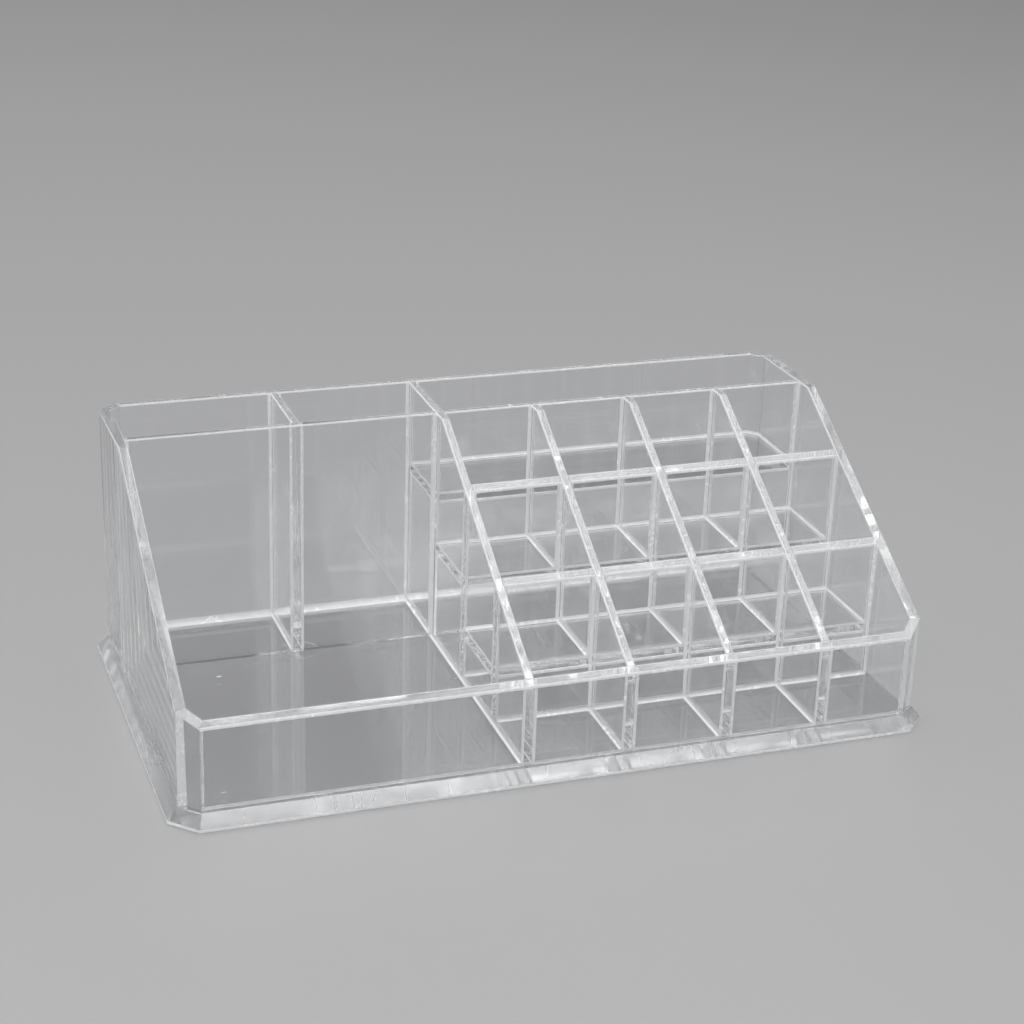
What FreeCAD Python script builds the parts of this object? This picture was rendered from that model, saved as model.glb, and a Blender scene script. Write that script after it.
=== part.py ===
"""Clear vanity organizer: upright panels and stepped shelves bonded to a flared plinth.

The frame has +X to the right, +Y to the rear and +Z up, with the origin under the middle of the plinth,
on the surface that the organizer stands on. All sizes are in millimetres.
"""
import FreeCAD, Part
import math
import os

Vector = FreeCAD.Vector

# Case
case_width = 215.6           # over the side walls
case_depth = 117.6           # over the front and rear walls
case_height = 76.6           # from the resting face to the level top
front_height = 28.9          # from the resting face to the outer top edge of the front wall
level_top_depth = 36.5       # level part of the top, measured forward from the back of the rear wall
corner_chamfer = 5.4         # leg of each cut corner, seen from above

# Plinth
plinth_height = 4.2          # its upper face is the floor of the open compartments
plinth_flare = 3.2           # how far its foot stands out from the case, all round
plinth_lip = 0.9             # upright strip around the foot

# Sheet
wall_thickness = 2.5         # front and rear walls and the corner strips
side_wall_thickness = 3.0
divider_thickness = 2.5
shelf_thickness = 2.2

# Compartments
row_count = 4                # from the front row to the row behind the tall panel
column_count = 4             # lipstick columns
lipstick_cell_width = 27.0   # clear width of a lipstick cell
rear_left_width = 48.5       # clear width of the compartment in the rear left corner
step_rise = 15.3             # height of each step of the lipstick block

# Joints
bond_gap = 0.1               # film of cement between two panels
lap_share = 0.5              # part of a crossing that is slotted out of the upright below
overrun = 5.0                # how far a cutting tool passes the face that it cuts

# Faces of the case
half_width = case_width / 2
half_depth = case_depth / 2
inner_x = half_width - side_wall_thickness
inner_y = half_depth - wall_thickness
floor_top = plinth_height
seat = floor_top + bond_gap
half_gap = bond_gap / 2
half_divider = divider_thickness / 2

# The cut corner at the right rear; the other three are its mirror images
diagonal_outer = half_width + half_depth - corner_chamfer
diagonal_inner = diagonal_outer - wall_thickness * math.sqrt(2)
outer_side_y = half_depth - corner_chamfer
outer_end_x = half_width - corner_chamfer
inner_side_y = diagonal_inner - inner_x
inner_end_x = diagonal_inner - inner_y

# The rim: level at the rear, then one slope down to the front
break_y = half_depth - level_top_depth
rim_slope = (case_height - front_height) / (break_y + half_depth)

# Rows from front to rear, each between two upright panels
row_depth = (2 * inner_y - (row_count - 1) * divider_thickness) / row_count
row_pitch = row_depth + divider_thickness
cross_y = [-inner_y + row * row_pitch - half_divider for row in range(1, row_count)]
tall_y = cross_y[-1]

# Columns, counted from the right side wall
column_pitch = lipstick_cell_width + divider_thickness
main_x = inner_x - column_count * column_pitch + half_divider
lipstick_x = [main_x + column * column_pitch for column in range(1, column_count)]
rear_divider_x = -inner_x + rear_left_width + half_divider


def rim_height(y):
    """Height of the rim above the resting face, at a place along the depth."""
    return min(case_height, front_height + rim_slope * (y + half_depth))


def shelf_top(step):
    """Upper face of a step; step 0 is the floor."""
    return floor_top + step * step_rise


def lap_height(low, high):
    """Where the slot from below meets the slot from above, on two panels that cross."""
    return low + lap_share * (high - low)


def plan_prism(outline, bottom, top):
    """Upright solid over an outline of (x, y) points."""
    corners = [Vector(x, y, bottom) for x, y in outline]
    face = Part.Face(Part.makePolygon(corners + corners[:1]))
    return face.extrude(Vector(0, 0, top - bottom))


def side_prism(outline, left, right):
    """Solid between two places along X, over an outline of (y, z) points."""
    corners = [Vector(left, y, z) for y, z in outline]
    face = Part.Face(Part.makePolygon(corners + corners[:1]))
    return face.extrude(Vector(right - left, 0, 0))


def block(x_span, y_span, z_span):
    """Box between pairs of low and high places along X, Y and Z."""
    size = [high - low for low, high in (x_span, y_span, z_span)]
    return Part.makeBox(*size, Vector(x_span[0], y_span[0], z_span[0]))


def about(middle, thickness):
    """Pair of places on either side of a middle plane."""
    return (middle - thickness / 2, middle + thickness / 2)


def under_rim(solid):
    """Trims a panel along the rim, level at the rear and sloping to the front."""
    rear = half_depth + overrun
    front = -half_depth - overrun
    front_rim = front_height - rim_slope * overrun
    outline = [(front, 0), (rear, 0), (rear, case_height), (break_y, case_height), (front, front_rim)]
    room = side_prism(outline, -half_width - overrun, half_width + overrun)
    return solid.common(room)


def octagon(half_x, half_y, chamfer, height):
    """Corner points of a rectangle with four cut corners, at one height."""
    quarter = [(half_x, half_y - chamfer), (half_x - chamfer, half_y)]
    plan = quarter
    plan = plan + [(-x, y) for x, y in reversed(quarter)]
    plan = plan + [(-x, -y) for x, y in quarter]
    plan = plan + [(x, -y) for x, y in reversed(quarter)]
    return [Vector(x, y, height) for x, y in plan]


def stacked_solid(rings):
    """Closed solid with flat facets through rings of matching points."""
    def facet(points):
        return Part.Face(Part.makePolygon(points + points[:1]))

    faces = [facet(rings[0]), facet(rings[-1])]
    for lower, upper in zip(rings, rings[1:]):
        count = len(lower)
        for i in range(count):
            j = (i + 1) % count
            faces.append(facet([lower[i], lower[j], upper[j], upper[i]]))
    solid = Part.makeSolid(Part.makeShell(faces))
    if solid.Volume < 0:
        solid.reverse()
    return solid


def base_plinth():
    """Solid plate with cut corners, flared to a lip at its foot."""
    foot_chamfer = corner_chamfer + plinth_flare * (2 - math.sqrt(2))
    foot = (half_width + plinth_flare, half_depth + plinth_flare, foot_chamfer)
    case = (half_width, half_depth, corner_chamfer)
    return stacked_solid([octagon(*foot, 0), octagon(*foot, plinth_lip), octagon(*case, plinth_height)])


def end_wall(side):
    """Front wall (side -1) or rear wall (side 1), mitred to the corner strips."""
    outer = outer_end_x - half_gap
    inner = inner_end_x - half_gap
    outline = [(-outer, side * half_depth), (outer, side * half_depth)]
    outline = outline + [(inner, side * inner_y), (-inner, side * inner_y)]
    return under_rim(plan_prism(outline, seat, case_height))


def corner_strip(side_x, side_y):
    """Narrow upright strip across one cut corner, mitred to the walls on both sides."""
    trim = half_gap / math.sqrt(2)
    quarter = [
        (half_width - trim, outer_side_y + trim),
        (outer_end_x + trim, half_depth - trim),
        (inner_end_x + trim, inner_y - trim),
        (inner_x - trim, inner_side_y + trim),
    ]
    outline = [(side_x * x, side_y * y) for x, y in quarter]
    return under_rim(plan_prism(outline, seat, case_height))


def side_wall(side):
    """Left wall (side -1) or right wall (side 1), mitred to the corner strips."""
    outer = outer_side_y - half_gap
    inner = inner_side_y - half_gap
    outline = [(side * half_width, -outer), (side * half_width, outer)]
    outline = outline + [(side * inner_x, inner), (side * inner_x, -inner)]
    return under_rim(plan_prism(outline, seat, case_height))


def main_slot_height():
    return lap_height(floor_top, case_height)


def tall_cross_panel():
    """Full-width panel in front of the rear compartments, slotted from above for the main divider."""
    x_span = (-inner_x + bond_gap, inner_x - bond_gap)
    panel = block(x_span, about(tall_y, divider_thickness), (seat, case_height))
    slot_x = about(main_x, divider_thickness + 2 * bond_gap)
    slot_y = about(tall_y, divider_thickness + 2 * overrun)
    slot_z = (main_slot_height() - half_gap, case_height + overrun)
    return panel.cut(block(slot_x, slot_y, slot_z))


def main_divider():
    """Divider from the rear wall to the front wall, slotted from below over the tall panel."""
    y_span = (-inner_y + bond_gap, inner_y - bond_gap)
    panel = under_rim(block(about(main_x, divider_thickness), y_span, (seat, case_height)))
    slot_x = about(main_x, divider_thickness + 2 * overrun)
    slot_y = about(tall_y, divider_thickness + 2 * bond_gap)
    slot_z = (seat - overrun, main_slot_height() + half_gap)
    return panel.cut(block(slot_x, slot_y, slot_z))


def rear_divider():
    """Short full-height divider between the rear wall and the tall panel."""
    y_span = (tall_y + half_divider + bond_gap, inner_y - bond_gap)
    return under_rim(block(about(rear_divider_x, divider_thickness), y_span, (seat, case_height)))


def crossing_height(row):
    """Height at which a lipstick divider and the cross divider behind a row lock together."""
    y = cross_y[row]
    return lap_height(shelf_top(row + 1), rim_height(y))


def cross_divider(row):
    """Cross divider behind a lipstick row, slotted from above for the lipstick dividers."""
    x_span = (main_x + half_divider + bond_gap, inner_x - bond_gap)
    panel = under_rim(block(x_span, about(cross_y[row], divider_thickness), (seat, case_height)))
    slot_y = about(cross_y[row], divider_thickness + 2 * overrun)
    slot_z = (crossing_height(row) - half_gap, case_height + overrun)
    for x in lipstick_x:
        panel = panel.cut(block(about(x, divider_thickness + 2 * bond_gap), slot_y, slot_z))
    return panel


def lipstick_divider(column):
    """Divider from the front wall to the tall panel, stepped below and slotted over the cross dividers."""
    x = lipstick_x[column]
    y_span = (-inner_y + bond_gap, tall_y - half_divider - bond_gap)
    panel = under_rim(block(about(x, divider_thickness), y_span, (seat, case_height)))
    cut_x = about(x, divider_thickness + 2 * overrun)
    for row in range(len(cross_y) - 1):
        step_y = (cross_y[row], cross_y[row + 1])
        step_z = (seat - overrun, shelf_top(row + 1) + bond_gap)
        panel = panel.cut(block(cut_x, step_y, step_z))
        slot_y = about(cross_y[row], divider_thickness + 2 * bond_gap)
        slot_z = (seat - overrun, crossing_height(row) + half_gap)
        panel = panel.cut(block(cut_x, slot_y, slot_z))
    return panel


def step_shelf(step):
    """Raised floor of one row of the lipstick block, cut at the corner where it reaches the rear wall."""
    left = main_x + half_divider + bond_gap
    right = inner_x - bond_gap
    front = cross_y[step - 1] + half_divider + bond_gap
    outline = [(left, front), (right, front)]
    if step < len(cross_y):
        rear = cross_y[step] - half_divider - bond_gap
        outline = outline + [(right, rear), (left, rear)]
    else:
        rear = inner_y - bond_gap
        diagonal = diagonal_inner - bond_gap * math.sqrt(2)
        outline = outline + [(right, diagonal - right), (diagonal - rear, rear), (left, rear)]
    return plan_prism(outline, shelf_top(step) - shelf_thickness, shelf_top(step))


pieces = {
    "base_plinth": base_plinth(),
    "rear_wall": end_wall(1),
    "front_wall": end_wall(-1),
    "left_side_wall": side_wall(-1),
    "right_side_wall": side_wall(1),
    "rear_left_corner": corner_strip(-1, 1),
    "rear_right_corner": corner_strip(1, 1),
    "front_left_corner": corner_strip(-1, -1),
    "front_right_corner": corner_strip(1, -1),
    "tall_cross_panel": tall_cross_panel(),
    "main_divider": main_divider(),
    "rear_divider": rear_divider(),
    "front_cross_divider": cross_divider(0),
    "middle_cross_divider": cross_divider(1),
}
for column in range(len(lipstick_x)):
    pieces[f"lipstick_divider_{column + 1}"] = lipstick_divider(column)
for step in range(1, row_count):
    pieces[f"step_shelf_{step}"] = step_shelf(step)

os.makedirs("parts", exist_ok=True)
for name, shape in pieces.items():
    solid = shape.Solids[0]
    print(name, "solids", len(shape.Solids), "valid", solid.isValid(), "volume", round(solid.Volume, 1))
    solid.exportStep(f"parts/{name}.step")
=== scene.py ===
# %% [markdown]
# A clear vanity organizer, dressed in Blender
#
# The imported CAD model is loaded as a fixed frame: it says where each panel stands, in metres. Blender
# gives every panel the soft rims, filled roots and glossy, slightly wavy finish that a clear moulded
# one has.

# %% Load the frame
import bmesh
import bpy
import math
from mathutils import Matrix, Vector


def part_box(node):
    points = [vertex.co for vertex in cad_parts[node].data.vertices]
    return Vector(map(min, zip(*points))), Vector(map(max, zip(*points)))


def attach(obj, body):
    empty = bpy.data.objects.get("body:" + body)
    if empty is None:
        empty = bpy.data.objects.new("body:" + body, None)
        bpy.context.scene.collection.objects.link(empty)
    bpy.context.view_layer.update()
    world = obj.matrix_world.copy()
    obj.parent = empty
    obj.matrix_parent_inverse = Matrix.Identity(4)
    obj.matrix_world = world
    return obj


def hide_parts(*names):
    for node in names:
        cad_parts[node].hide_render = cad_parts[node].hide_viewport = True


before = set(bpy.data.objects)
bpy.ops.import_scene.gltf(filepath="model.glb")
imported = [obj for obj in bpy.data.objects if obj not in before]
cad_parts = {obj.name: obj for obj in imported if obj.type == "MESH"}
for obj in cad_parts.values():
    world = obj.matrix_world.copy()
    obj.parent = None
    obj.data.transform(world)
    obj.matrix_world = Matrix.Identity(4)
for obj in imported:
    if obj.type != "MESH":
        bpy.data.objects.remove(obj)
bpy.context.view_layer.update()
scene = bpy.context.scene
mm = 0.001

print("panels in the frame:", len(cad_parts))

# %% [markdown]
# Camera
#
# The photograph was taken from the front left, a little above the rim, with a long lens. The values
# come from fitting a camera to the corners of the organizer. It leans by two degrees, so its three axes
# are worked out first and put straight into its matrix, which is clearer here than three turns.

# %% Camera
image_width = 1024
focal_pixels = 2247.4
azimuth = math.radians(-19.797)
elevation = math.radians(22.481)
lean = math.radians(2.006)
camera_distance = 656.459 * mm
aim = Vector((3.769, 6.111, 52.031)) * mm
up_axis = Vector((0, 0, 1))

back = Vector((
    math.sin(azimuth) * math.cos(elevation),
    -math.cos(azimuth) * math.cos(elevation),
    math.sin(elevation),
))
level_right = (-back).cross(up_axis).normalized()
level_up = level_right.cross(-back)
right = level_right * math.cos(lean) + level_up * math.sin(lean)
up = level_up * math.cos(lean) - level_right * math.sin(lean)
axes = Matrix((right, up, back)).transposed().to_4x4()

lens = bpy.data.cameras.new("photo_camera")
lens.lens = focal_pixels / image_width * lens.sensor_width
camera = bpy.data.objects.new("photo_camera", lens)
camera.matrix_world = Matrix.Translation(aim + back * camera_distance) @ axes
scene.collection.objects.link(camera)
scene.camera = camera

print("camera at", [round(x, 3) for x in camera.location], "with a lens of", round(lens.lens, 1), "mm")

# %% [markdown]
# Floor
#
# The organizer stands on a plain pale sheet that runs out of sight. The sheet lies a hair below the
# plinth, because two surfaces at the same height would flicker, and clear plastic would show it.

# %% Floor
floor_size = 12.0
floor_drop = 0.02 * mm
floor_roughness = 0.4
floor_colour = (0.42, 0.42, 0.425, 1)

bpy.ops.object.select_all(action="DESELECT")
bpy.ops.mesh.primitive_plane_add(size=floor_size, location=(0, 0, -floor_drop))
floor = bpy.context.object
floor.name = "floor"

floor_paint = bpy.data.materials.new("pale_floor")
floor_paint.use_nodes = True
floor_shader = floor_paint.node_tree.nodes["Principled BSDF"]
floor_shader.inputs["Base Color"].default_value = floor_colour
floor_shader.inputs["Roughness"].default_value = floor_roughness
floor.data.materials.append(floor_paint)

print("floor", floor_size, "m wide")

# %% [markdown]
# Light
#
# Clear plastic has no colour of its own: it shows the lamps and the room. The first softbox hangs where
# the sloping rims mirror it into the camera, and the second where the front of the flared plinth does.
# One stands behind, one at the left and a large one over the floor. The last fills in from the front,
# for the upright joints.

# %% Softboxes
def softbox(name, direction, distance, size, brightness):
    """Hangs a soft lamp in a direction seen from the organizer, facing it."""
    lamp = bpy.data.lights.new(name, "AREA")
    lamp.shape = "RECTANGLE"
    lamp.size, lamp.size_y = size
    lamp.energy = 4 * brightness * size[0] * size[1]
    box = bpy.data.objects.new(name, lamp)
    away = Vector(direction).normalized()
    box.location = aim + away * distance
    box.rotation_mode = "QUATERNION"
    box.rotation_quaternion = (-away).to_track_quat("-Z", "Y")
    scene.collection.objects.link(box)
    print(name, "at", [round(x, 2) for x in box.location], "power", round(lamp.energy, 1))


softbox(
    "rim_softbox", direction=(0.313, 0.088, 0.945), distance=1.1, size=(0.7, 0.6), brightness=1.9
)
softbox(
    "front_softbox", direction=(0.313, -0.409, 0.857), distance=1.2, size=(0.9, 0.35), brightness=1.6
)
softbox(
    "rear_softbox", direction=(-0.3, 0.75, 0.6), distance=1.4, size=(0.6, 0.3), brightness=1.9
)
softbox(
    "left_softbox", direction=(-0.9, 0.1, 0.45), distance=1.3, size=(0.6, 0.5), brightness=1.9
)
softbox(
    "backdrop_softbox", direction=(0.05, 0.62, 0.78), distance=2.6, size=(3.0, 1.6), brightness=1.25
)
softbox(
    "fill_softbox", direction=(-0.35, -0.8, 0.5), distance=1.5, size=(0.8, 0.6), brightness=4.2
)

room_colour = (0.2, 0.2, 0.205, 1)
world = bpy.data.worlds.new("studio")
world.use_nodes = True
world.node_tree.nodes["Background"].inputs["Color"].default_value = room_colour
scene.world = world
scene.view_settings.view_transform = "Standard"

print("room colour", room_colour)

# %% [markdown]
# Bounces
#
# Light that enters a clear sheet at its rim bounces many times before it leaves. With the usual twelve
# bounces it would be lost on the way and the rims would turn black.

# %% Bounces
clear_bounces = 40
scene.cycles.max_bounces = clear_bounces
scene.cycles.transmission_bounces = clear_bounces
scene.cycles.glossy_bounces = clear_bounces
scene.cycles.transparent_max_bounces = clear_bounces

print("bounces", scene.cycles.max_bounces)


# %% [markdown]
# Effects for the finishes
#
# Moulded clear plastic is never as flat as glass. A slow wave bends what it mirrors, handling leaves a
# faint haze of fine marks, and a rim is mottled, where the mottle also paints a spotted highlight into its
# colour. Each effect is a node group, so that every finish can use it with its own values. They all read
# Object coordinates, in metres, so a pattern has the same size on every panel.

# %% Node helpers
def add_node(tree, kind, **values):
    """Adds a node and sets its properties."""
    node = tree.nodes.new(kind)
    for name, value in values.items():
        setattr(node, name, value)
    return node


def new_effect(name, inputs, outputs):
    """Starts a node group with named inputs, each with its usual value, and named outputs."""
    tree = bpy.data.node_groups.new(name, "ShaderNodeTree")
    for socket, value in inputs.items():
        made = tree.interface.new_socket(socket, in_out="INPUT", socket_type="NodeSocketFloat")
        made.default_value = value
    for socket in outputs:
        tree.interface.new_socket(socket, in_out="OUTPUT", socket_type="NodeSocketFloat")
    return tree, add_node(tree, "NodeGroupInput"), add_node(tree, "NodeGroupOutput")


def noise(tree, place, detail):
    """Adds a noise texture that reads Object coordinates, or a mapping of them."""
    node = add_node(tree, "ShaderNodeTexNoise")
    node.inputs["Detail"].default_value = detail
    tree.links.new(place, node.inputs["Vector"])
    return node


# %% Mould wave
wave_effect, wave_in, wave_out = new_effect(
    "mould_wave", {"Waves per metre": 30.0, "Ripples per metre": 220.0, "Ripple share": 0.08}, ["Height"]
)
wave_place = add_node(wave_effect, "ShaderNodeTexCoord").outputs["Object"]
slow_wave = noise(wave_effect, wave_place, 1.0)
fine_wave = noise(wave_effect, wave_place, 1.0)
wave_sum = add_node(wave_effect, "ShaderNodeMath", operation="MULTIPLY_ADD")
wave_effect.links.new(wave_in.outputs["Waves per metre"], slow_wave.inputs["Scale"])
wave_effect.links.new(wave_in.outputs["Ripples per metre"], fine_wave.inputs["Scale"])
wave_effect.links.new(fine_wave.outputs["Fac"], wave_sum.inputs[0])
wave_effect.links.new(wave_in.outputs["Ripple share"], wave_sum.inputs[1])
wave_effect.links.new(slow_wave.outputs["Fac"], wave_sum.inputs[2])
wave_effect.links.new(wave_sum.outputs[0], wave_out.inputs["Height"])

print("effect", wave_effect.name, "made of", len(wave_effect.nodes), "nodes")

# %% Handling marks
marks_effect, marks_in, marks_out = new_effect(
    "handling_marks", {"Marks per metre": 900.0, "Smears per metre": 45.0, "Amount": 0.5}, ["Mask"]
)
marks_place = add_node(marks_effect, "ShaderNodeTexCoord").outputs["Object"]
marks_turn = add_node(marks_effect, "ShaderNodeMapping")
marks_turn.inputs["Rotation"].default_value = (0.6, 0.5, 0.9)
marks_turn.inputs["Scale"].default_value = (1.0, 0.03, 0.03)
fine_marks = noise(marks_effect, marks_turn.outputs["Vector"], 2.0)
smears = noise(marks_effect, marks_place, 3.0)
thin_lines = add_node(marks_effect, "ShaderNodeMapRange")
thin_lines.inputs["From Min"].default_value = 0.62
thin_lines.inputs["From Max"].default_value = 0.72
smear_patches = add_node(marks_effect, "ShaderNodeMapRange")
smear_patches.inputs["From Min"].default_value = 0.45
smear_patches.inputs["From Max"].default_value = 0.75
marks_sum = add_node(marks_effect, "ShaderNodeMath", operation="MULTIPLY_ADD", use_clamp=True)
marks_effect.links.new(marks_place, marks_turn.inputs["Vector"])
marks_effect.links.new(marks_in.outputs["Marks per metre"], fine_marks.inputs["Scale"])
marks_effect.links.new(marks_in.outputs["Smears per metre"], smears.inputs["Scale"])
marks_effect.links.new(fine_marks.outputs["Fac"], thin_lines.inputs["Value"])
marks_effect.links.new(smears.outputs["Fac"], smear_patches.inputs["Value"])
marks_effect.links.new(thin_lines.outputs["Result"], marks_sum.inputs[0])
marks_effect.links.new(marks_in.outputs["Amount"], marks_sum.inputs[1])
marks_effect.links.new(smear_patches.outputs["Result"], marks_sum.inputs[2])
marks_effect.links.new(marks_sum.outputs[0], marks_out.inputs["Mask"])

print("effect", marks_effect.name, "made of", len(marks_effect.nodes), "nodes")

# %% Rim mottle
mottle_effect, mottle_in, mottle_out = new_effect(
    "rim_mottle", {"Spots per metre": 700.0, "Patches per metre": 120.0}, ["Height", "Mask"]
)
mottle_place = add_node(mottle_effect, "ShaderNodeTexCoord").outputs["Object"]
spots = noise(mottle_effect, mottle_place, 2.0)
patches = noise(mottle_effect, mottle_place, 2.0)
mottle_mix = add_node(mottle_effect, "ShaderNodeMath", operation="MULTIPLY")
# The mask spots the roughness, and it lightens the rims' colour as a painted highlight.
mottle_and_highlight_spread = add_node(mottle_effect, "ShaderNodeMapRange")
mottle_and_highlight_spread.inputs["From Min"].default_value = 0.15
mottle_and_highlight_spread.inputs["From Max"].default_value = 0.38
mottle_effect.links.new(mottle_in.outputs["Spots per metre"], spots.inputs["Scale"])
mottle_effect.links.new(mottle_in.outputs["Patches per metre"], patches.inputs["Scale"])
mottle_effect.links.new(spots.outputs["Fac"], mottle_mix.inputs[0])
mottle_effect.links.new(patches.outputs["Fac"], mottle_mix.inputs[1])
mottle_effect.links.new(mottle_mix.outputs[0], mottle_and_highlight_spread.inputs["Value"])
mottle_effect.links.new(spots.outputs["Fac"], mottle_out.inputs["Height"])
mottle_effect.links.new(mottle_and_highlight_spread.outputs["Result"], mottle_out.inputs["Mask"])

print("effect", mottle_effect.name, "made of", len(mottle_effect.nodes), "nodes")


# %% [markdown]
# Finishes
#
# The faces are clear and glossy: full transmission, the refraction of polystyrene, and a roughness that
# the handling marks lift a little. The rims and edges are the same plastic with a less polished skin that
# scatters some light. Their bright lines are painted highlights: that skin is coloured a bright light
# grey, and on the edges and roots it scatters most of the light. A renderer finds lamps behind clear
# plastic only by chance, so Light Path lets the rays that look for light pass straight through, by way
# of Alpha.

# %% Finish helpers
plastic_refraction = 1.57
sheet_share = 0.97
plinth_share = 0.4
edge_share = 0.7


def new_finish(name, transmission):
    """Starts a plastic material and returns it with its node tree and shader."""
    finish = bpy.data.materials.new(name)
    finish.use_nodes = True
    shader = finish.node_tree.nodes["Principled BSDF"]
    shader.inputs["IOR"].default_value = plastic_refraction
    shader.inputs["Transmission Weight"].default_value = transmission
    return finish, finish.node_tree, shader


def use_effect(tree, effect, **values):
    """Places an effect in a finish, with its own values."""
    node = add_node(tree, "ShaderNodeGroup", node_tree=effect)
    for name, value in values.items():
        node.inputs[name.replace("_", " ")].default_value = value
    return node


def spread(tree, source, low, high, socket):
    """Turns a mask into a range of values for a socket."""
    node = add_node(tree, "ShaderNodeMapRange")
    node.inputs["To Min"].default_value = low
    node.inputs["To Max"].default_value = high
    tree.links.new(source, node.inputs["Value"])
    tree.links.new(node.outputs["Result"], socket)


def tint(tree, source, low, high, socket):
    """Blends two colours by a mask."""
    node = add_node(tree, "ShaderNodeMix", data_type="RGBA")
    node.inputs["A"].default_value = low
    node.inputs["B"].default_value = high
    tree.links.new(source, node.inputs["Factor"])
    tree.links.new(node.outputs["Result"], socket)


def emboss(tree, source, depth, shader):
    """Turns a height into a bump of a real depth, in metres."""
    node = add_node(tree, "ShaderNodeBump")
    node.inputs["Distance"].default_value = depth
    tree.links.new(source, node.inputs["Height"])
    tree.links.new(node.outputs["Normal"], shader.inputs["Normal"])


def let_light_through(tree, shader, share):
    """Lets a share of the light for what lies behind pass straight through, by way of Alpha."""
    path = add_node(tree, "ShaderNodeLightPath")
    lighting = add_node(tree, "ShaderNodeMath", operation="MAXIMUM")
    alpha = add_node(tree, "ShaderNodeMath", operation="MULTIPLY_ADD")
    alpha.inputs[1].default_value = -share
    alpha.inputs[2].default_value = 1.0
    tree.links.new(path.outputs["Is Shadow Ray"], lighting.inputs[0])
    tree.links.new(path.outputs["Is Diffuse Ray"], lighting.inputs[1])
    tree.links.new(lighting.outputs[0], alpha.inputs[0])
    tree.links.new(alpha.outputs[0], shader.inputs["Alpha"])


# %% Clear faces
polished = 0.006
clear_tint = (0.968, 0.972, 0.974, 1)
worn_tint = (0.95, 0.954, 0.956, 1)


def clear_faces(name, waves, wave_depth, marks, worn, light_share):
    """A glossy clear face with its own wave, handling, wear and share of light let through."""
    finish, tree, shader = new_finish(name, 1.0)
    wave = use_effect(tree, wave_effect, Waves_per_metre=waves)
    handling = use_effect(tree, marks_effect, Amount=marks)
    emboss(tree, wave.outputs["Height"], wave_depth, shader)
    spread(tree, handling.outputs["Mask"], polished, worn, shader.inputs["Roughness"])
    tint(tree, handling.outputs["Mask"], clear_tint, worn_tint, shader.inputs["Base Color"])
    let_light_through(tree, shader, light_share)
    return finish


sheet_finish = clear_faces(
    "clear_sheet", waves=26.0, wave_depth=0.05 * mm, marks=0.5, worn=0.06, light_share=sheet_share
)
wall_finish = clear_faces(
    "clear_wall", waves=20.0, wave_depth=0.01 * mm, marks=0.3, worn=0.015, light_share=sheet_share
)
plinth_finish = clear_faces(
    "clear_plinth", waves=18.0, wave_depth=0.04 * mm, marks=0.8, worn=0.06, light_share=plinth_share
)

print("clear finishes", [sheet_finish.name, wall_finish.name, plinth_finish.name])


# %% Mottled rims and bright edges, partly painted highlights
painted_highlight_grey = (0.88, 0.9, 0.91, 1)
painted_highlight_white = (0.99, 0.99, 0.99, 1)


def mottled(name, transmission, depth, roughness):
    """A less polished skin, spotted by the rim mottle, which scatters a share of the light; the mottle also
    lightens its colour, a painted highlight.
    """
    finish, tree, shader = new_finish(name, transmission)
    mottle = use_effect(tree, mottle_effect)
    emboss(tree, mottle.outputs["Height"], depth, shader)
    spread(tree, mottle.outputs["Mask"], *roughness, shader.inputs["Roughness"])
    tint(tree, mottle.outputs["Mask"], painted_highlight_grey, painted_highlight_white, shader.inputs["Base Color"])
    let_light_through(tree, shader, edge_share)
    return finish


# The rim's flat scatters a little of the light in a mottled bright colour, partly a painted highlight.
rim_skin_and_painted_highlight = mottled("mottled_rim_painted_highlight", transmission=0.85, depth=0.018 * mm, roughness=(0.05, 0.22))
# The bright edges scatter most of the light in a bright light grey: a painted highlight on the rim edges,
# roots, mitres and lip.
edge_skin_and_painted_highlight = mottled("bright_edge_painted_highlight", transmission=0.15, depth=0.02 * mm, roughness=(0.1, 0.3))

print("scattering finishes", [rim_skin_and_painted_highlight.name, edge_skin_and_painted_highlight.name])

# %% Satin flare, partly a painted reflection
# The flare is rough and scatters a fifth of the light in a light grey, so it renders as an even light band:
# a satin skin, and a painted reflection of the softboxes.
flare_grey_painted_reflection = (0.86, 0.87, 0.875, 1)
flare_satin_and_painted_reflection, flare_tree, flare_shader = new_finish("satin_flare_painted_reflection", 0.8)
flare_handling = use_effect(flare_tree, marks_effect, Amount=0.8)
spread(flare_tree, flare_handling.outputs["Mask"], 0.22, 0.3, flare_shader.inputs["Roughness"])
flare_shader.inputs["Base Color"].default_value = flare_grey_painted_reflection
let_light_through(flare_tree, flare_shader, edge_share)

print("satin finish", flare_satin_and_painted_reflection.name)

# %% [markdown]
# Sizes
#
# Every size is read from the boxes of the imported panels, so the dressing follows the solids. The rim is
# one slope over the front wall and all the dividers, and level at the rear. Two panel tops on the slope
# are enough to find it.

# %% Sizes from the frame
plinth_low, plinth_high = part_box("base_plinth")
front_low, front_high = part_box("front_wall")
rear_low, rear_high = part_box("rear_wall")
side_low, side_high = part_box("right_side_wall")
tall_low, tall_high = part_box("tall_cross_panel")
main_low, main_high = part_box("main_divider")
cross_rows = ["front_cross_divider", "middle_cross_divider"]
lipstick_columns = ["lipstick_divider_1", "lipstick_divider_2", "lipstick_divider_3"]
shelf_steps = ["step_shelf_1", "step_shelf_2", "step_shelf_3"]
cross_boxes = [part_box(name) for name in cross_rows]
lipstick_boxes = [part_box(name) for name in lipstick_columns]
shelf_boxes = [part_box(name) for name in shelf_steps]

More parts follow.
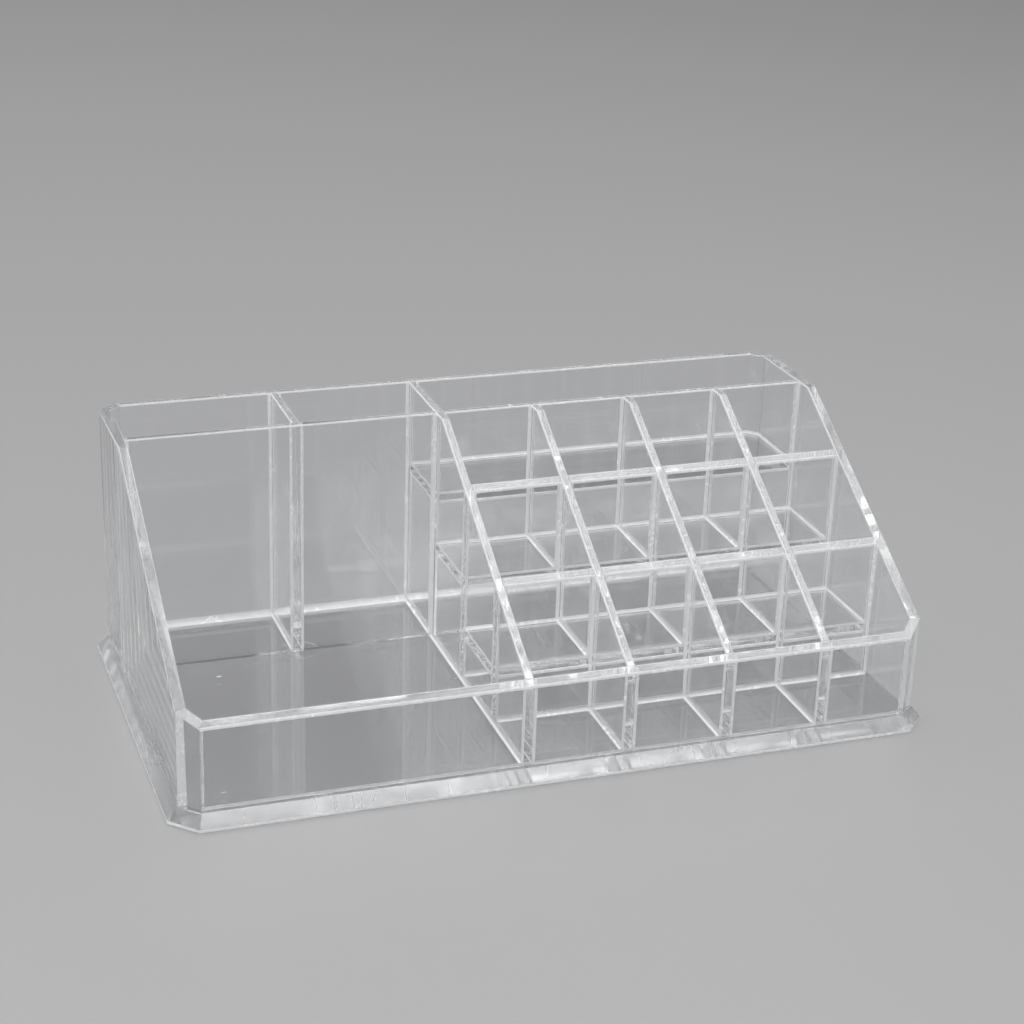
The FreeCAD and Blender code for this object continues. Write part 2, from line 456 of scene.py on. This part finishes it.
floor_top = plinth_high.z
level_top = rear_high.z
gap = front_low.z - floor_top
half_sheet = (main_high.x - main_low.x) / 2
rim_slope = (cross_boxes[0][1].z - front_high.z) / (cross_boxes[0][1].y - front_high.y)
rim_point = Vector((0, front_high.y, front_high.z))
rim_normal = Vector((0, -rim_slope, 1)).normalized()

print("rim slope", round(math.degrees(math.atan(rim_slope)), 1), "degrees")
print("cement film", round(gap / mm, 2), "mm")


# %% Height of the rim
def rim_height(y):
    """Height of the rim at a place along the depth."""
    return min(level_top, rim_point.z + rim_slope * (y - rim_point.y))


def below_rim(point):
    """How far a point lies below the rim, square to it."""
    return min(level_top - point.z, (rim_point - point).dot(rim_normal))


print("rim over the first cross divider", round(rim_height(cross_boxes[0][0].y) / mm, 1), "mm")

# %% [markdown]
# Joints
#
# Cement joins two clear sheets for light as well: a ray passes from one into the next. Two clear meshes
# that only stand side by side would mirror it instead, and the rims would turn black. So each sheet is
# made longer by the thickness of the cement film and a hair more, and dips into its neighbour.

# %% Joints
joint_dip = 0.02 * mm
bond = gap + joint_dip


def cemented(low, high, across):
    """Lengthens a sheet's box over the cement at its edges, but not across its thickness."""
    growth = Vector((bond, bond, bond))
    growth[across] = 0
    return low - growth, high + growth


print("each sheet reaches", round(bond / mm, 2), "mm further than its solid")

# %% [markdown]
# Helpers for sheet panels
#
# A panel could be extruded from a drawn outline. A cube that is cut down is easier to follow: it starts
# at its full size and place, planes trim it, and blocks cut its slots. Everything is deselected before
# a helper works, because an operator acts on all that is selected.

# %% Start, open and close a mesh
overrun = 3 * mm


def start_block(name, low, high):
    """Adds a cube that fills the space between two corners, with its place in its mesh."""
    low, high = Vector(low), Vector(high)
    bpy.ops.object.select_all(action="DESELECT")
    bpy.ops.mesh.primitive_cube_add(size=1, location=(low + high) / 2, scale=high - low)
    piece = bpy.context.object
    piece.name = name
    piece.data.name = name
    bpy.ops.object.transform_apply(location=True, rotation=True, scale=True)
    return piece


def raised(high):
    """A box's upper corner, lifted over the rim."""
    return Vector((high.x, high.y, level_top + overrun))


def activate(piece):
    """Makes a piece the only selected object."""
    bpy.ops.object.select_all(action="DESELECT")
    bpy.context.view_layer.objects.active = piece
    piece.select_set(True)


def open_mesh(piece, kind):
    """Enters edit mode on a piece, with nothing selected, to pick faces, edges or vertices."""
    activate(piece)
    bpy.ops.object.mode_set(mode="EDIT")
    bpy.ops.mesh.select_mode(type=kind)
    bpy.ops.mesh.select_all(action="DESELECT")


def close_mesh():
    """Leaves edit mode."""
    bpy.ops.object.mode_set(mode="OBJECT")


print("panels are cut from blocks that stand", overrun / mm, "mm over the rim")


# %% Pick by place or normal
aligned = 0.99


def pick(piece, kind, wanted):
    """Selects the faces or edges that pass a test, and says how many."""
    bpy.ops.mesh.select_mode(type=kind)
    mesh = bmesh.from_edit_mesh(piece.data)
    mesh.normal_update()
    chosen = [part for part in (mesh.faces if kind == "FACE" else mesh.edges) if wanted(part)]
    bpy.ops.mesh.select_all(action="DESELECT")
    for part in chosen:
        part.select_set(True)
    bmesh.update_edit_mesh(piece.data)
    return len(chosen)


def faces_along(axis):
    """A test for faces that are square to an axis."""
    return lambda face: abs(face.normal[axis]) > aligned


def is_upright(edge):
    """True for an edge that stands straight up."""
    along = edge.verts[1].co - edge.verts[0].co
    return abs(along.normalized().z) > aligned


# %% Trim and cut
flat_angle = math.radians(1)


def trim(piece, point, normal):
    """Cuts a piece along a plane, drops what lies on the normal's side and closes the cut."""
    open_mesh(piece, "FACE")
    bpy.ops.mesh.select_all(action="SELECT")
    bpy.ops.mesh.bisect(plane_co=point, plane_no=normal, use_fill=True, clear_outer=True)
    close_mesh()


def merge_flat(piece):
    """Merges neighbouring faces that lie in one plane."""
    open_mesh(piece, "FACE")
    bpy.ops.mesh.select_all(action="SELECT")
    bpy.ops.mesh.dissolve_limited(angle_limit=flat_angle)
    close_mesh()


def trim_rim(piece):
    """Trims a panel along the slope and along the level top."""
    trim(piece, rim_point, rim_normal)
    trim(piece, (0, 0, level_top), up_axis)
    merge_flat(piece)


def combine(piece, tool, operation):
    """Cuts a piece with another, or joins the two, and drops the other."""
    work = piece.modifiers.new("work", "BOOLEAN")
    work.operation = operation
    work.solver = "EXACT"
    work.object = tool
    activate(piece)
    bpy.ops.object.modifier_apply(modifier=work.name)
    bpy.data.objects.remove(tool)


def cut_out(piece, low, high):
    """Cuts a block's space out of a piece."""
    combine(piece, start_block("cutting_block", low, high), "DIFFERENCE")


# %% [markdown]
# Rims
#
# No moulded rim is razor sharp. A narrow bevel along the two long edges of each rim catches the softboxes
# as a bright line, and a painted highlight adds to it: the bevel gets the bright, scattering skin of the
# edges. The flat of the rim between the two is a mottled band, partly a painted highlight as well.

# %% Soften the rims
rim_round = 0.45 * mm
round_segments = 4
rim_reach = 0.004 * mm
short_edge = 3.5 * mm
smooth_angle = math.radians(25)


def soften_rim(piece):
    """Trims a panel along the rim and bevels the long edges there."""
    trim_rim(piece)
    open_mesh(piece, "EDGE")

    def on_rim(face):
        return all(abs(below_rim(corner.co)) < rim_reach for corner in face.verts)

    def is_rim_edge(edge):
        return edge.calc_length() > short_edge and sum(on_rim(face) for face in edge.link_faces) == 1

    pick(piece, "EDGE", is_rim_edge)
    bpy.ops.mesh.bevel(offset=rim_round, segments=round_segments, affect="EDGES", clamp_overlap=False)
    close_mesh()


# %% [markdown]
# Roots
#
# Where a moulded divider meets a wall or the floor, its edge swells into a small hollow fillet. Its bright
# double line is partly a painted highlight, as the fillet gets the bright, scattering skin of the edges.
# By hand, one insets the face of the sheet, pulls the rim of the inset out into a thin flange, and bevels
# the inside corner: a bevel fills a hollow corner, just as it takes away from an outer one.

# %% Fill the roots
root_land = 0.14 * mm
root_size = 0.8 * mm
fillet_share = 0.9
root_clear = 2 * rim_round
hollow_angle = math.radians(-40)


def fill_roots(piece, across, has_root, size=root_size):
    """Gives a sheet hollow fillets along its edges, at the places that pass a test."""
    merge_flat(piece)
    open_mesh(piece, "FACE")
    is_face = faces_along(across)
    pick(piece, "FACE", is_face)
    bpy.ops.mesh.inset(thickness=root_land)

    def is_root(face):
        place = face.calc_center_median()
        return is_face(face) and not face.select and below_rim(place) > root_clear and has_root(place)

    pick(piece, "FACE", is_root)
    bpy.ops.mesh.extrude_region_shrink_fatten(TRANSFORM_OT_shrink_fatten={"value": size})

    def is_hollow(edge):
        along = (edge.verts[1].co - edge.verts[0].co).normalized()
        return edge.calc_face_angle_signed(0) < hollow_angle and abs(along[across]) < 0.1

    count = pick(piece, "EDGE", is_hollow)
    fillet = fillet_share * size
    bpy.ops.mesh.bevel(offset=fillet, segments=round_segments, affect="EDGES", clamp_overlap=False)
    close_mesh()
    print(piece.name, "has", count, "filled roots")


# %% Finish a panel
flat_limit = math.cos(math.radians(8))


def on_rim_flat(face):
    """True for the flat of a rim, on the slope or on the level top."""
    lies_flat = max(face.normal.dot(rim_normal), face.normal.z) > flat_limit
    return lies_flat and below_rim(face.calc_center_median()) < rim_round


def on_rim_edge(face):
    """True for the rounded edges of a rim."""
    return below_rim(face.calc_center_median()) < rim_round and not on_rim_flat(face)


def standing_out(across, low, high):
    """A test for the faces of filled roots, which stand out from the faces of their sheet."""
    def is_root_face(face):
        place = face.calc_center_median()[across]
        return place < low[across] - rim_reach or place > high[across] + rim_reach

    return is_root_face


def finish_panel(piece, node, finish, zones):
    """Closes and smooths a piece, gives it its finishes, and puts it in place of its CAD node."""
    piece.data.materials.append(finish)
    open_mesh(piece, "VERT")
    bpy.ops.mesh.select_all(action="SELECT")
    bpy.ops.mesh.remove_doubles(threshold=rim_reach / 10)
    bpy.ops.mesh.normals_make_consistent(inside=False)
    # Rim flats get the mottled, partly painted highlight, and the rounded rim edges the painted highlight of
    # the bright edges.
    for zone_finish, in_zone in [(rim_skin_and_painted_highlight, on_rim_flat), (edge_skin_and_painted_highlight, on_rim_edge)] + zones:
        if zone_finish.name not in piece.data.materials:
            piece.data.materials.append(zone_finish)
        pick(piece, "FACE", in_zone)
        piece.active_material_index = piece.data.materials.find(zone_finish.name)
        bpy.ops.object.material_slot_assign()
    close_mesh()
    bpy.ops.object.shade_smooth_by_angle(angle=smooth_angle)
    flat = piece.modifiers.new("flat_faces", "WEIGHTED_NORMAL")
    flat.weight = 100
    flat.keep_sharp = True
    bpy.ops.object.modifier_apply(modifier=flat.name)
    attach(piece, "root")
    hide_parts(node)
    print(piece.name, "has", len(piece.data.polygons), "faces")


def finish_sheet(piece, node, across):
    """Finishes a sheet and gives its roots the painted highlight of the bright edges."""
    finish_panel(piece, node, sheet_finish, [(edge_skin_and_painted_highlight, standing_out(across, *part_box(node)))])


# %% [markdown]
# Main divider
#
# This sheet runs from the rear wall to the front wall and carries the lipstick block on its right. It
# crosses the tall panel, so each of the two is slotted to half its height and they slide into each
# other, as cut sheets do.

# %% Main divider
tall_middle = (tall_low.y + tall_high.y) / 2
main_middle = (main_low.x + main_high.x) / 2
slot_half = half_sheet - joint_dip
main_lap = (floor_top + level_top) / 2


def at_slot_end(height, lap, beside):
    """True for a place at the closed end of a slot."""
    return abs(height - lap) < overrun / 2 and abs(beside) < slot_half


main_start, main_stop = cemented(main_low, main_high, 0)
main_divider = start_block("main_divider_clear", main_start, raised(main_stop))
soften_rim(main_divider)
cut_out(
    main_divider,
    (main_low.x - overrun, tall_middle - slot_half, main_low.z - overrun),
    (main_high.x + overrun, tall_middle + slot_half, main_lap - joint_dip),
)
fill_roots(main_divider, 0, lambda place: not at_slot_end(place.z, main_lap, place.y - tall_middle))
finish_sheet(main_divider, "main_divider", 0)

# %% [markdown]
# Tall cross panel
#
# The full-width panel in front of the rear compartments has the other half of that crossing: its slot is
# open at the top. Its foot keeps the gap of the cement film, which shows as a thin dark line.

# %% Tall cross panel
tall_start, tall_stop = cemented(tall_low, tall_high, 1)
tall_start.z = tall_low.z
tall_panel = start_block("tall_cross_panel_clear", tall_start, raised(tall_stop))
soften_rim(tall_panel)
cut_out(
    tall_panel,
    (main_middle - slot_half, tall_low.y - overrun, main_lap + joint_dip),
    (main_middle + slot_half, tall_high.y + overrun, level_top + 2 * overrun),
)


def is_tall_root(place):
    """True along the upright joints of the tall panel, but not at its foot."""
    at_foot = place.z < floor_top + overrun
    return not at_foot and not at_slot_end(place.z, main_lap, place.x - main_middle)


fill_roots(tall_panel, 1, is_tall_root)
finish_sheet(tall_panel, "tall_cross_panel", 1)

# %% [markdown]
# Rear divider
#
# A short sheet parts the two rear compartments on the left. It has no slots, so all its edges but the
# rim are roots.

# %% Rear divider
short_start, short_stop = cemented(*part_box("rear_divider"), 0)
rear_divider = start_block("rear_divider_clear", short_start, raised(short_stop))
soften_rim(rear_divider)
fill_roots(rear_divider, 0, lambda place: True)
finish_sheet(rear_divider, "rear_divider", 0)

# %% [markdown]
# Cross dividers
#
# Two sheets stand across the lipstick block, one behind each of the first two rows. They differ only in
# height and place, so one function makes both, with three slots that are open at the top.

# %% Cross dividers
lipstick_middles = [(low.x + high.x) / 2 for low, high in lipstick_boxes]
cross_middles = [(low.y + high.y) / 2 for low, high in cross_boxes]
cross_laps = [(shelf_boxes[row][1].z + rim_height(cross_middles[row])) / 2 for row in range(len(cross_rows))]


def cross_divider(row):
    """A divider behind a row of cells, slotted from above for the lipstick dividers."""
    low, high = cemented(*cross_boxes[row], 1)
    piece = start_block(cross_rows[row] + "_clear", low, raised(high))
    soften_rim(piece)
    for middle in lipstick_middles:
        cut_out(
            piece,
            (middle - slot_half, low.y - overrun, cross_laps[row] + joint_dip),
            (middle + slot_half, high.y + overrun, level_top + 2 * overrun),
        )

    def has_root(place):
        lap = cross_laps[row]
        return not any(at_slot_end(place.z, lap, place.x - middle) for middle in lipstick_middles)

    fill_roots(piece, 1, has_root)
    finish_sheet(piece, cross_rows[row], 1)


for row in range(len(cross_rows)):
    cross_divider(row)


# %% [markdown]
# Lipstick dividers
#
# Three equal sheets part the columns. Their lower edges climb with the shelves, and slots from below
# drop over the cross dividers. One is modelled, and the other two are copies with meshes of their own,
# moved along the row.

# %% One lipstick divider
def lipstick_divider():
    """The first lipstick divider: stepped below, and slotted from below over the cross dividers."""
    low, high = cemented(*lipstick_boxes[0], 0)
    piece = start_block(lipstick_columns[0] + "_clear", low, raised(high))
    soften_rim(piece)
    left_end, right_end = low.x - overrun, high.x + overrun
    rear_ends = cross_middles[1:] + [high.y + overrun]
    for row, middle in enumerate(cross_middles):
        step_top = shelf_boxes[row][1].z - joint_dip
        cut_out(piece, (left_end, middle, low.z - overrun), (right_end, rear_ends[row], step_top))
        slot_top = cross_laps[row] - joint_dip
        slot_rear = middle + slot_half
        cut_out(piece, (left_end, middle - slot_half, low.z - overrun), (right_end, slot_rear, slot_top))

    def has_root(place):
        slots = zip(cross_middles, cross_laps)
        return not any(at_slot_end(place.z, lap, place.y - middle) for middle, lap in slots)

    fill_roots(piece, 0, has_root)
    return piece


dividers = [lipstick_divider()]

# %% The other lipstick dividers
for column in range(1, len(lipstick_columns)):
    activate(dividers[0])
    bpy.ops.object.duplicate()
    twin = bpy.context.object
    twin.name = lipstick_columns[column] + "_clear"
    twin.data.name = twin.name
    bpy.ops.transform.translate(value=(lipstick_middles[column] - lipstick_middles[0], 0, 0))
    bpy.ops.object.transform_apply(location=True, rotation=False, scale=False)
    dividers.append(twin)
for piece, node in zip(dividers, lipstick_columns):
    finish_sheet(piece, node, 0)

# %% [markdown]
# Walls
#
# The case is a box with its four corners cut off. Each wall ends in a mitre, and a narrow strip stands
# across each cut corner between two mitres. The plan of one corner gives the slant of the mitres.

# %% Plan of the cut corner
half_width = side_high.x
half_depth = rear_high.y
inner_x = side_low.x
inner_y = rear_low.y
outer_side_y = side_high.y + gap / 2
outer_end_x = rear_high.x + gap / 2
corner_cut = half_depth - outer_side_y
wall_sheet = half_depth - inner_y
diagonal_inner = half_width + outer_side_y - wall_sheet * math.sqrt(2)
side_mitre = (outer_side_y - (diagonal_inner - inner_x)) / (half_width - inner_x)
end_mitre = (outer_end_x - (diagonal_inner - inner_y)) / wall_sheet

print("corner cut", round(corner_cut / mm, 2), "mm")

# %% Soften upright edges
upright_round = 0.15 * mm
sharp_angle = math.radians(20)


def soften_uprights(piece):
    """Bevels the upright edges of a wall."""
    open_mesh(piece, "EDGE")
    pick(piece, "EDGE", lambda edge: is_upright(edge) and edge.calc_face_angle_signed(0) > sharp_angle)
    bpy.ops.mesh.bevel(offset=upright_round, segments=2, affect="EDGES", clamp_overlap=False)
    close_mesh()


# %% [markdown]
# Front and rear walls
#
# Both walls come from one function: a block, mitred at both ends, with a filled root along the foot of
# its inner face. The rim's slope leans over the low front wall and leaves the tall rear wall level.

# %% Front and rear walls
rear_root_size = 1.6 * mm


def end_wall(node, side, size):
    """The front wall (side -1) or the rear wall (side 1), with a root of a given size."""
    low, high = cemented(*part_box(node), 1)
    piece = start_block(node + "_clear", low, raised(high))
    for hand in (-1, 1):
        outer_corner = (hand * (outer_end_x + joint_dip), side * half_depth, 0)
        trim(piece, outer_corner, (hand, -side * end_mitre, 0))

    def has_root(place):
        return side * place.y < half_depth - wall_sheet / 2 and place.z < floor_top + overrun

    soften_rim(piece)
    fill_roots(piece, 1, has_root, size)
    finish_sheet(piece, node, 1)


end_wall("front_wall", -1, root_size)
end_wall("rear_wall", 1, rear_root_size)


# %% [markdown]
# Side walls
#
# The side walls are moulded a little thicker towards the foot. Seen along its length, such a wall traps
# the light between its faces, and the joints behind it repeat as fine lines. A plane through the inner
# edge of the sloping rim, tilted by the taper, cuts the inner face.

# %% Side walls
wall_taper = 0.02


def on_mitre(face):
    """True for the cut front end of a side wall."""
    return face.normal.y < -0.5 and abs(face.normal.z) < 0.1


def side_wall(node, hand):
    """The left wall (hand -1) or the right wall (hand 1), tapered and mitred at both ends."""
    low, high = cemented(*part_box(node), 0)
    reserve = Vector((overrun, 0, 0))
    piece = start_block(node + "_clear", low - reserve, raised(high + reserve))
    trim(piece, (hand * half_width, 0, 0), (hand, 0, 0))
    inner_edge = rim_point + Vector((hand * inner_x, 0, 0))
    trim(piece, inner_edge, Vector((-hand, 0, 0)) + rim_normal * wall_taper)
    for side in (-1, 1):
        outer_corner = (hand * half_width, side * (outer_side_y + joint_dip), 0)
        trim(piece, outer_corner, (-hand * side_mitre, side, 0))
    soften_uprights(piece)
    soften_rim(piece)
    # The mitred ends get the painted highlight of the bright edges.
    finish_panel(piece, node, wall_finish, [(edge_skin_and_painted_highlight, on_mitre)])


side_wall("left_side_wall", -1)
side_wall("right_side_wall", 1)


# %% [markdown]
# Corner strips
#
# Each strip is trimmed by four planes: its two faces lie on the diagonal, and its two ends on the
# mitres of the walls.

# %% Corner strips
def corner_strip(node, hand, side):
    """The narrow strip across a cut corner, trimmed by two diagonals and two mitres."""
    low, high = cemented(*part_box(node), 2)
    margin = Vector((overrun, overrun, 0))
    piece = start_block(node + "_clear", low - margin - up_axis * bond, raised(high + margin))
    planes = [
        ((half_width, outer_side_y), (1, 1)),
        ((inner_x, diagonal_inner - inner_x), (-1, -1)),
        ((half_width, outer_side_y - joint_dip), (side_mitre, -1)),
        ((outer_end_x - joint_dip, half_depth), (-1, end_mitre)),
    ]
    for point, normal in planes:
        trim(piece, (hand * point[0], side * point[1], 0), (hand * normal[0], side * normal[1], 0))
    soften_uprights(piece)
    soften_rim(piece)
    finish_panel(piece, node, sheet_finish, [])


corner_strip("front_left_corner", -1, -1)
corner_strip("front_right_corner", 1, -1)
corner_strip("rear_left_corner", -1, 1)
corner_strip("rear_right_corner", 1, 1)


# %% [markdown]
# Step shelves
#
# The raised floors of the lipstick block are plain plates between the dividers. The last one reaches
# the rear wall and loses a corner there. Filled roots run all round them, where they meet the dividers.

# %% Step shelves
def step_shelf(node):
    """A raised floor, with filled roots all round."""
    low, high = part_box(node)
    piece = start_block(node + "_clear", *cemented(low, high, 2))
    if high.y > inner_y - overrun:
        trim(piece, (diagonal_inner + joint_dip - inner_y, inner_y, 0), (1, 1, 0))
    fill_roots(piece, 2, lambda place: True)
    finish_panel(piece, node, sheet_finish, [(edge_skin_and_painted_highlight, standing_out(2, low, high))])


for node in shelf_steps:
    step_shelf(node)

# %% [markdown]
# Plinth
#
# The plinth is a thick plate that flares out to a thin lip. It starts as a block as high as the lip.
# Bevels cut its corners, an inset draws the case's outline on its top, and that face is lifted to the
# height of the floor.

# %% Plinth
plinth_lip = 0.9 * mm
plinth_round = 0.3 * mm
plinth_flare = plinth_high.y - half_depth
foot_cut = corner_cut + plinth_flare * (2 - math.sqrt(2))

plinth = start_block("base_plinth_clear", plinth_low, (plinth_high.x, plinth_high.y, plinth_lip))
open_mesh(plinth, "EDGE")
pick(plinth, "EDGE", is_upright)
bpy.ops.mesh.bevel(offset=foot_cut, segments=1, affect="EDGES")
pick(plinth, "FACE", lambda face: face.normal.z > aligned)
bpy.ops.mesh.inset(thickness=plinth_flare)
bpy.ops.transform.translate(value=(0, 0, plinth_high.z - plinth_lip))


def is_level_ridge(edge):
    """True for the level edges of the plinth's lip, foot and floor."""
    rise = edge.verts[1].co.z - edge.verts[0].co.z
    return abs(rise) < rim_reach and edge.calc_face_angle(0) > sharp_angle


pick(plinth, "EDGE", is_level_ridge)
bpy.ops.mesh.bevel(offset=plinth_round, segments=round_segments, affect="EDGES")
close_mesh()

print("plinth flares by", round(plinth_flare / mm, 1), "mm")

# %% [markdown]
# Marks on the plinth
#
# A shallow round mark lies under the foot of the rear divider, and a few small pips stand on the floor,
# as a mould leaves them. A cylinder cuts the mark out of the underside, and flattened spheres are
# joined to the floor.

# %% Marks on the plinth
mark_place = (-54.1 * mm, 31.9 * mm)
mark_radius = 6.3 * mm
mark_depth = 0.5 * mm
pip_places = [(-81.4 * mm, 17.8 * mm), (-15.2 * mm, -1.8 * mm), (-94.5 * mm, -48.2 * mm)]
pip_radius = 0.8 * mm
pip_height = 0.15 * mm

bpy.ops.object.select_all(action="DESELECT")
bpy.ops.mesh.primitive_cylinder_add(
    vertices=64, radius=mark_radius, depth=2 * mark_depth, location=(*mark_place, 0)
)
combine(plinth, bpy.context.object, "DIFFERENCE")
for place in pip_places:
    bpy.ops.object.select_all(action="DESELECT")
    bpy.ops.mesh.primitive_uv_sphere_add(
        segments=24, ring_count=12, radius=pip_radius, location=(*place, floor_top)
    )
    bpy.ops.transform.resize(value=(1, 1, pip_height / pip_radius))
    combine(plinth, bpy.context.object, "UNION")

print("plinth has", len(plinth.data.polygons), "faces after its marks")

# %% Finish the plinth
def on_flare(face):
    """True for the sloping sides of the plinth."""
    inside = abs(face.calc_center_median().y) < half_depth and abs(face.calc_center_median().x) < half_width
    return 0.2 < face.normal.z < 0.98 and not inside


def on_lip(face):
    """True for the upright lip and its rounded edges."""
    return face.calc_center_median().z < plinth_lip + plinth_round / 2 and face.normal.z > -0.5


# The flare gets its partly painted reflection.
# The lip gets the painted highlight of the bright edges.
finish_panel(plinth, "base_plinth", plinth_finish, [(flare_satin_and_painted_reflection, on_flare), (edge_skin_and_painted_highlight, on_lip)])
